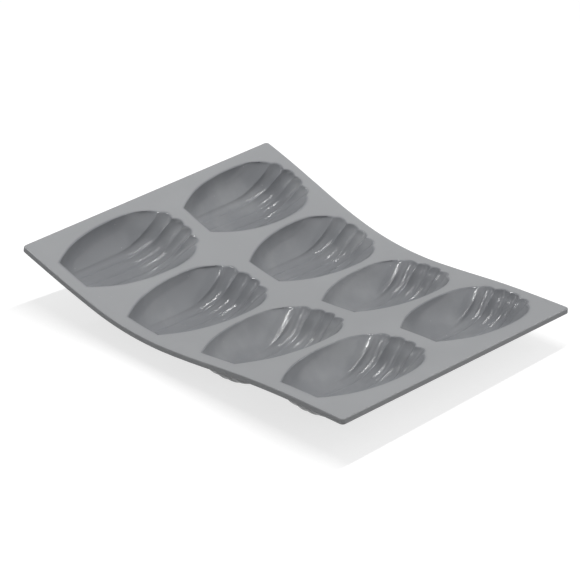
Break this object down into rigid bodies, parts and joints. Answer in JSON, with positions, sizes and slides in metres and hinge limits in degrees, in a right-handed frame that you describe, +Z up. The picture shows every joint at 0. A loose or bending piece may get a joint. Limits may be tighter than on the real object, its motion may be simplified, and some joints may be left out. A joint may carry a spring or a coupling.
{
  "type": "madeleine mould",
  "caption": "Flexible bakeware sheet with shell-shaped cups in rows, for baking madeleines; the sheet bends between the rows to turn the cakes out.",
  "frame": {"origin": "under the middle of the sheet, on the table it stands on", "axes": "+X along the long side from the raised end to the other, +Y across from the cups' narrow ends to their wide ends, +Z up, out of the cups' mouths"},
  "size_m": [0.2086, 0.1792, 0.0489],
  "materials": {
    "silicone": "matte"
  },
  "bodies": {
    "row_1": {"cup_row_1_near": "silicone", "cup_row_1_far": "silicone", "sheet_row_1": "silicone"},
    "row_2": {"cup_row_2_near": "silicone", "cup_row_2_far": "silicone", "sheet_row_2_near": "silicone", "sheet_row_2_middle": "silicone", "sheet_row_2_far": "silicone", "flex_strip_1_2": "silicone", "flex_strip_2_3": "silicone"},
    "row_3": {"cup_row_3_near": "silicone", "cup_row_3_far": "silicone", "sheet_row_3_near": "silicone", "sheet_row_3_middle": "silicone", "sheet_row_3_far": "silicone", "flex_strip_3_4": "silicone"},
    "row_4": {"cup_row_4_near": "silicone", "cup_row_4_far": "silicone", "sheet_row_4": "silicone"}
  },
  "joints": [
    {"name": "flex_1_2", "type": "hinge", "parent": "row_2", "child": "row_1", "pos_m": [-0.05199, -0.00013, 0.02301], "axis": [-0.0139, 0.9977, 0.0657], "range_deg": [-45, 45], "stiffness_Nm_per_rad": 0.25, "springref_deg": 1.76, "deforming": ["flex_strip_1_2"]},
    {"name": "flex_2_3", "type": "hinge", "parent": "row_2", "child": "row_3", "pos_m": [-0.00288, 0.00079, 0.01517], "axis": [0.0219, -0.9997, -0.0145], "range_deg": [-45, 45], "stiffness_Nm_per_rad": 0.25, "springref_deg": 3.69, "deforming": ["flex_strip_2_3"]},
    {"name": "flex_3_4", "type": "hinge", "parent": "row_3", "child": "row_4", "pos_m": [0.04677, 0.00075, 0.01834], "axis": [0.0206, -0.9997, 0.011], "range_deg": [-45, 45], "stiffness_Nm_per_rad": 0.25, "springref_deg": 1.9, "deforming": ["flex_strip_3_4"]}
  ]
}
